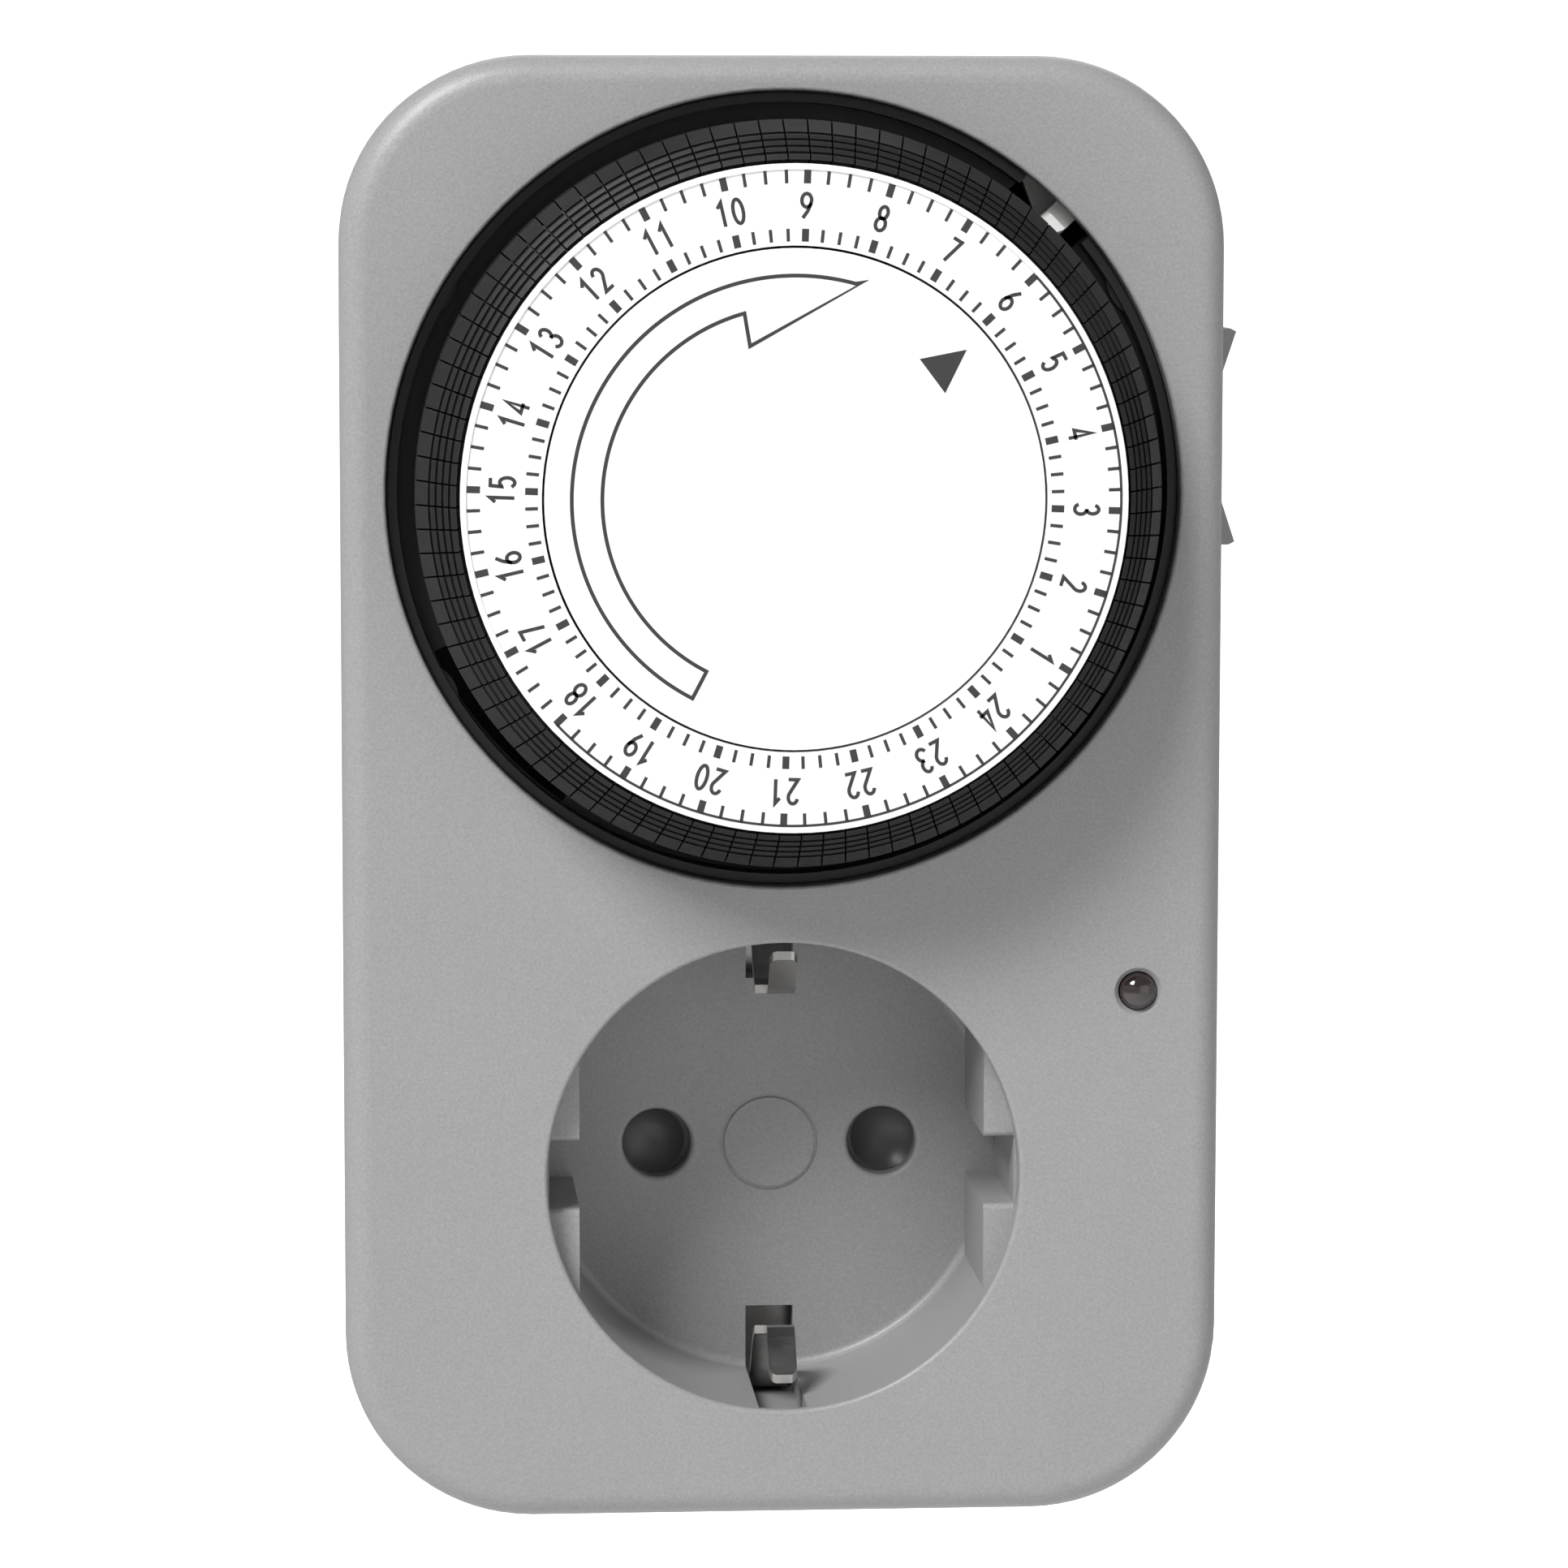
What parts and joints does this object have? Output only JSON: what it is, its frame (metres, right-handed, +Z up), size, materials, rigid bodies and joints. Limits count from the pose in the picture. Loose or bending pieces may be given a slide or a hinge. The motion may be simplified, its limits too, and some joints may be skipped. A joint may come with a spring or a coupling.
{
  "type": "plug-in mechanical timer",
  "caption": "Plug-in mains timer with an earthed socket, a program dial ringed with push-in tappets, a side rocker and a round two-pin plug body.",
  "frame": {"origin": "middle between the two plug pins, on the plug's pin face", "axes": "+Y along the plug pins towards the wall, +Z up the housing, +X to the right of somebody who looks at the dial"},
  "size_m": [0.0735, 0.0816, 0.119],
  "materials": {
    "grey_shell": "fine spark-eroded grain",
    "white_dial": "smooth, slightly glossy",
    "tappet_plastic": "smooth moulded",
    "black_tray": "smooth moulded",
    "white_lever": "smooth moulded",
    "rocker_plastic": "smooth moulded",
    "shutter_plastic": "smooth moulded",
    "lens": "polished",
    "nickel": "bright nickel plate",
    "brass": "rolled strip",
    "steel": "zinc plated",
    "switch_plastic": "moulded",
    "gear_plastic": "natural acetal",
    "winding": "taped winding",
    "bulb": "clear",
    "lead_sleeve": "soft insulation"
  },
  "bodies": {
    "housing": {"front_housing": "grey_shell", "rear_housing": "grey_shell", "housing_screws": "steel", "plug_pin_live": "nickel", "plug_pin_neutral": "nickel", "socket_contact_neutral": "brass", "socket_contact_live": "brass", "live_busbar": "brass", "earth_bracket": "nickel", "shutter_retainer": "gear_plastic", "shutter_spring": "steel", "dial_carrier": "black_tray", "carrier_washers": "steel", "centre_plate": "white_dial", "motor_can": "steel", "motor_cover": "steel", "motor_screws": "steel", "motor_winding": "winding", "follower_spring": "steel", "microswitch_body": "switch_plastic", "microswitch_terminals": "brass", "rocker_frame": "switch_plastic", "rocker_pin": "steel", "rocker_spring": "brass", "indicator_lens": "lens", "neon_lamp": "bulb", "motor_leads": "lead_sleeve", "lamp_leads": "lead_sleeve", "switch_leads": "lead_sleeve"},
    "dial": {"dial_gear": "gear_plastic", "dial_ring": "white_dial"},
    "pinion": {"drive_pinion": "brass"},
    "follower": {"follower_lever": "white_lever"},
    "plunger": {"microswitch_plunger": "white_lever"},
    "rocker": {"rocker_button": "rocker_plastic"},
    "shutter": {"shutter": "shutter_plastic"},
    "tappets_01": {"tappets_hour_01": "tappet_plastic"},
    "tappets_02": {"tappets_hour_02": "tappet_plastic"},
    "tappets_03": {"tappets_hour_03": "tappet_plastic"},
    "tappets_04": {"tappets_hour_04": "tappet_plastic"},
    "tappets_05": {"tappets_hour_05": "tappet_plastic"},
    "tappets_06": {"tappets_hour_06": "tappet_plastic"},
    "tappets_07": {"tappets_hour_07": "tappet_plastic"},
    "tappets_08": {"tappets_hour_08": "tappet_plastic"},
    "tappets_09": {"tappets_hour_09": "tappet_plastic"},
    "tappets_10": {"tappets_hour_10": "tappet_plastic"},
    "tappets_11": {"tappets_hour_11": "tappet_plastic"},
    "tappets_12": {"tappets_hour_12": "tappet_plastic"},
    "tappets_13": {"tappets_hour_13": "tappet_plastic"},
    "tappets_14": {"tappets_hour_14": "tappet_plastic"},
    "tappets_15": {"tappets_hour_15": "tappet_plastic"},
    "tappets_16": {"tappets_hour_16": "tappet_plastic"},
    "tappets_17": {"tappets_hour_17": "tappet_plastic"},
    "tappets_18": {"tappets_hour_18": "tappet_plastic"},
    "tappets_19": {"tappets_hour_19": "tappet_plastic"},
    "tappets_20": {"tappets_hour_20": "tappet_plastic"},
    "tappets_21": {"tappets_hour_21": "tappet_plastic"},
    "tappets_22": {"tappets_hour_22": "tappet_plastic"},
    "tappets_23": {"tappets_hour_23": "tappet_plastic"},
    "tappets_24": {"tappets_hour_24": "tappet_plastic"}
  },
  "joints": [
    {"name": "dial_turn", "type": "hinge", "parent": "housing", "child": "dial", "pos_m": [0, -0.051, 0.056], "axis": [0, 1, 0], "continuous": true},
    {"name": "pinion_turn", "type": "hinge", "parent": "housing", "child": "pinion", "pos_m": [-0.01146, -0.051, 0.04454], "axis": [0, 1, 0], "continuous": true},
    {"name": "tappets_01_push", "type": "slide", "parent": "dial", "child": "tappets_01", "axis": [0, 1, 0], "range_m": [0, 0.0025]},
    {"name": "tappets_02_push", "type": "slide", "parent": "dial", "child": "tappets_02", "axis": [0, 1, 0], "range_m": [0, 0.0025]},
    {"name": "tappets_03_push", "type": "slide", "parent": "dial", "child": "tappets_03", "axis": [0, 1, 0], "range_m": [0, 0.0025]},
    {"name": "tappets_04_push", "type": "slide", "parent": "dial", "child": "tappets_04", "axis": [0, 1, 0], "range_m": [0, 0.0025]},
    {"name": "tappets_05_push", "type": "slide", "parent": "dial", "child": "tappets_05", "axis": [0, 1, 0], "range_m": [0, 0.0025]},
    {"name": "tappets_06_push", "type": "slide", "parent": "dial", "child": "tappets_06", "axis": [0, 1, 0], "range_m": [0, 0.0025]},
    {"name": "tappets_07_push", "type": "slide", "parent": "dial", "child": "tappets_07", "axis": [0, 1, 0], "range_m": [0, 0.0025]},
    {"name": "tappets_08_push", "type": "slide", "parent": "dial", "child": "tappets_08", "axis": [0, 1, 0], "range_m": [0, 0.0025]},
    {"name": "tappets_09_push", "type": "slide", "parent": "dial", "child": "tappets_09", "axis": [0, 1, 0], "range_m": [0, 0.0025]},
    {"name": "tappets_10_push", "type": "slide", "parent": "dial", "child": "tappets_10", "axis": [0, 1, 0], "range_m": [0, 0.0025]},
    {"name": "tappets_11_push", "type": "slide", "parent": "dial", "child": "tappets_11", "axis": [0, 1, 0], "range_m": [0, 0.0025]},
    {"name": "tappets_12_push", "type": "slide", "parent": "dial", "child": "tappets_12", "axis": [0, 1, 0], "range_m": [0, 0.0025]},
    {"name": "tappets_13_push", "type": "slide", "parent": "dial", "child": "tappets_13", "axis": [0, 1, 0], "range_m": [0, 0.0025]},
    {"name": "tappets_14_push", "type": "slide", "parent": "dial", "child": "tappets_14", "axis": [0, 1, 0], "range_m": [0, 0.0025]},
    {"name": "tappets_15_push", "type": "slide", "parent": "dial", "child": "tappets_15", "axis": [0, 1, 0], "range_m": [0, 0.0025]},
    {"name": "tappets_16_push", "type": "slide", "parent": "dial", "child": "tappets_16", "axis": [0, 1, 0], "range_m": [0, 0.0025]},
    {"name": "tappets_17_push", "type": "slide", "parent": "dial", "child": "tappets_17", "axis": [0, 1, 0], "range_m": [0, 0.0025]},
    {"name": "tappets_18_push", "type": "slide", "parent": "dial", "child": "tappets_18", "axis": [0, 1, 0], "range_m": [0, 0.0025]},
    {"name": "tappets_19_push", "type": "slide", "parent": "dial", "child": "tappets_19", "axis": [0, 1, 0], "range_m": [0, 0.0025]},
    {"name": "tappets_20_push", "type": "slide", "parent": "dial", "child": "tappets_20", "axis": [0, 1, 0], "range_m": [0, 0.0025]},
    {"name": "tappets_21_push", "type": "slide", "parent": "dial", "child": "tappets_21", "axis": [0, 1, 0], "range_m": [0, 0.0025]},
    {"name": "tappets_22_push", "type": "slide", "parent": "dial", "child": "tappets_22", "axis": [0, 1, 0], "range_m": [0, 0.0025]},
    {"name": "tappets_23_push", "type": "slide", "parent": "dial", "child": "tappets_23", "axis": [0, 1, 0], "range_m": [0, 0.0025]},
    {"name": "tappets_24_push", "type": "slide", "parent": "dial", "child": "tappets_24", "axis": [0, 1, 0], "range_m": [0, 0.0025]},
    {"name": "follower_swing", "type": "hinge", "parent": "housing", "child": "follower", "pos_m": [0.012, -0.0435, 0.0845], "axis": [0, -1, 0], "range_deg": [0, 4.6]},
    {"name": "plunger_press", "type": "slide", "parent": "housing", "child": "plunger", "axis": [0, 0, -1], "range_m": [0, 0.0008]},
    {"name": "rocker_tilt", "type": "hinge", "parent": "housing", "child": "rocker", "pos_m": [0.031, -0.0386, 0.0599], "axis": [0, 1, 0], "range_deg": [-12, 12]},
    {"name": "shutter_turn", "type": "hinge", "parent": "housing", "child": "shutter", "pos_m": [0, -0.0305, 0], "axis": [0, 1, 0], "range_deg": [0, 40], "stiffness_Nm_per_rad": 0.001, "springref_deg": -11.46}
  ],
  "couplings": [
    {"joint": "pinion_turn", "follows": "dial_turn", "ratio": 4},
    {"joint": "follower_swing", "follows": "tappets_06_push", "rad_per_m": 31.4},
    {"joint": "plunger_press", "follows": "tappets_06_push", "ratio": 0.28}
  ]
}
